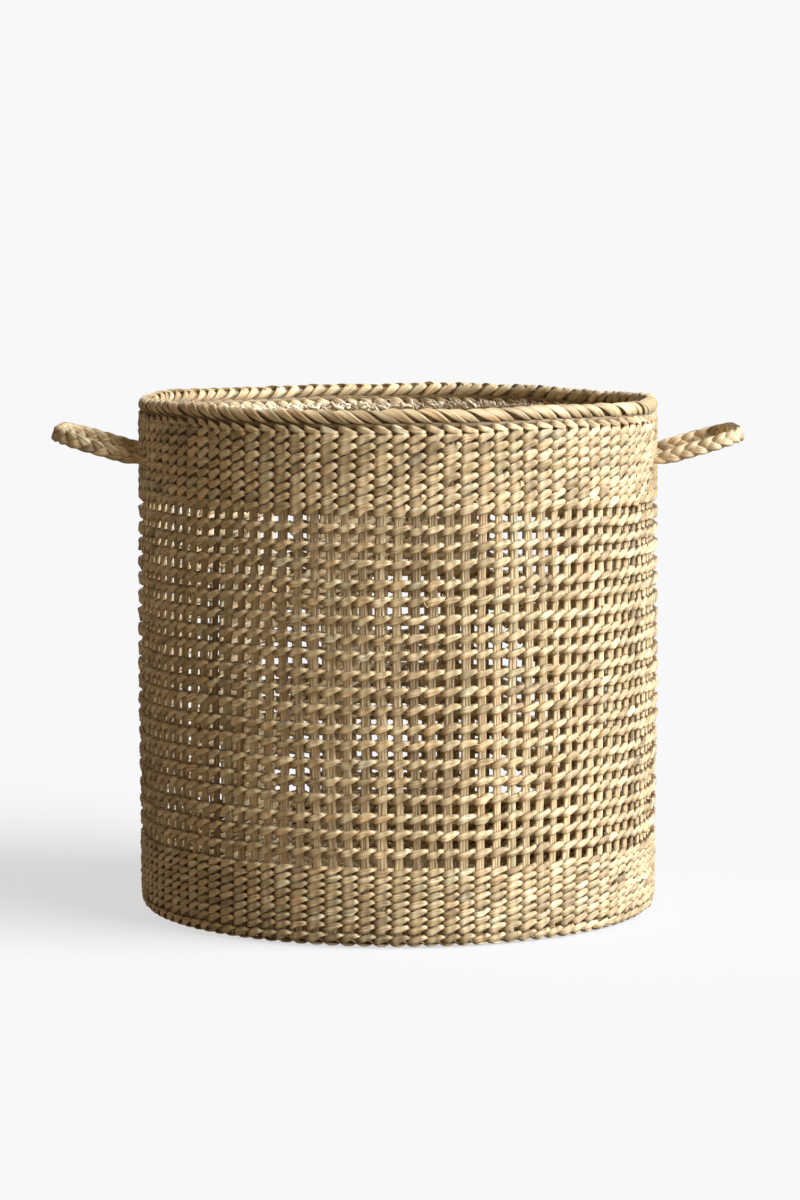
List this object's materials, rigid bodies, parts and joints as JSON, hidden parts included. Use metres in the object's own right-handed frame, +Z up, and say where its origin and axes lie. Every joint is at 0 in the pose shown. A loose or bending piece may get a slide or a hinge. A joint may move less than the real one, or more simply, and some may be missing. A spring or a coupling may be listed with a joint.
{
  "type": "storage basket",
  "caption": "Round open storage basket twined from seagrass, with a spaced lattice wall between close bands, a rolled rim and a plaited loop handle on each side.",
  "frame": {"origin": "centre of the underside, on the surface that the basket stands on", "axes": "+Z up through the open top; the two handles are on the X axis; Y is front to back"},
  "size_m": [0.508, 0.3806, 0.375],
  "materials": {
    "stakes": "dried seagrass, matt with a faint sheen along the fibres",
    "base_laths": "dried seagrass, matt with a faint sheen along the fibres",
    "base_weft": "dried seagrass, matt with a faint sheen along the fibres",
    "lower_band_weft": "dried seagrass, matt with a faint sheen along the fibres",
    "lattice_weft": "dried seagrass, matt with a faint sheen along the fibres",
    "upper_band_weft": "dried seagrass, matt with a faint sheen along the fibres",
    "rim_border": "dried seagrass, matt with a faint sheen along the fibres",
    "trimmed_ends": "dried seagrass, matt with a faint sheen along the fibres",
    "handle_plait": "dried seagrass, matt with a faint sheen along the fibres",
    "handle_ties": "dried seagrass, matt with a faint sheen along the fibres"
  },
  "bodies": {
    "root": {"added_stakes": "stakes", "base_centre_laths_lower": "base_laths", "base_centre_laths_upper": "base_laths", "base_rows_inner": "base_weft", "base_rows_outer": "base_weft", "lattice_row_01": "lattice_weft", "lattice_row_02": "lattice_weft", "lattice_row_03": "lattice_weft", "lattice_row_04": "lattice_weft", "lattice_row_05": "lattice_weft", "lattice_row_06": "lattice_weft", "lattice_row_07": "lattice_weft", "lattice_row_08": "lattice_weft", "lattice_row_09": "lattice_weft", "lattice_row_10": "lattice_weft", "lattice_row_11": "lattice_weft", "lattice_row_12": "lattice_weft", "lattice_row_13": "lattice_weft", "lattice_row_14": "lattice_weft", "lattice_row_15": "lattice_weft", "lattice_row_16": "lattice_weft", "lattice_row_17": "lattice_weft", "lattice_row_18": "lattice_weft", "lattice_row_19": "lattice_weft", "left_handle_front_root": "handle_ties", "left_handle_rear_root": "handle_ties", "locking_row": "upper_band_weft", "long_stakes": "stakes", "lower_band_row_01": "lower_band_weft", "lower_band_row_02": "lower_band_weft", "lower_band_row_03": "lower_band_weft", "lower_band_row_04": "lower_band_weft", "lower_band_row_05": "lower_band_weft", "lower_band_row_06": "lower_band_weft", "lower_band_row_07": "lower_band_weft", "lower_band_row_08": "lower_band_weft", "lower_band_row_09": "lower_band_weft", "right_handle_front_root": "handle_ties", "right_handle_rear_root": "handle_ties", "rim_border": "rim_border", "trimmed_ends": "trimmed_ends", "upper_band_row_01": "upper_band_weft", "upper_band_row_02": "upper_band_weft", "upper_band_row_03": "upper_band_weft", "upper_band_row_04": "upper_band_weft", "upper_band_row_05": "upper_band_weft", "upper_band_row_06": "upper_band_weft", "upper_band_row_07": "upper_band_weft", "upper_band_row_08": "upper_band_weft"},
    "left_handle": {"left_handle_lower_strand": "handle_plait", "left_handle_middle_strand": "handle_plait", "left_handle_upper_strand": "handle_plait"},
    "right_handle": {"right_handle_lower_strand": "handle_plait", "right_handle_middle_strand": "handle_plait", "right_handle_upper_strand": "handle_plait"}
  },
  "joints": [
    {"name": "right_handle_flex", "type": "hinge", "parent": "root", "child": "right_handle", "pos_m": [0.19146, 0, 0.33303], "axis": [0, -1, 0], "range_deg": [-85, 60]},
    {"name": "left_handle_flex", "type": "hinge", "parent": "root", "child": "left_handle", "pos_m": [-0.19146, 0, 0.33303], "axis": [0, 1, 0], "range_deg": [-85, 60]}
  ]
}
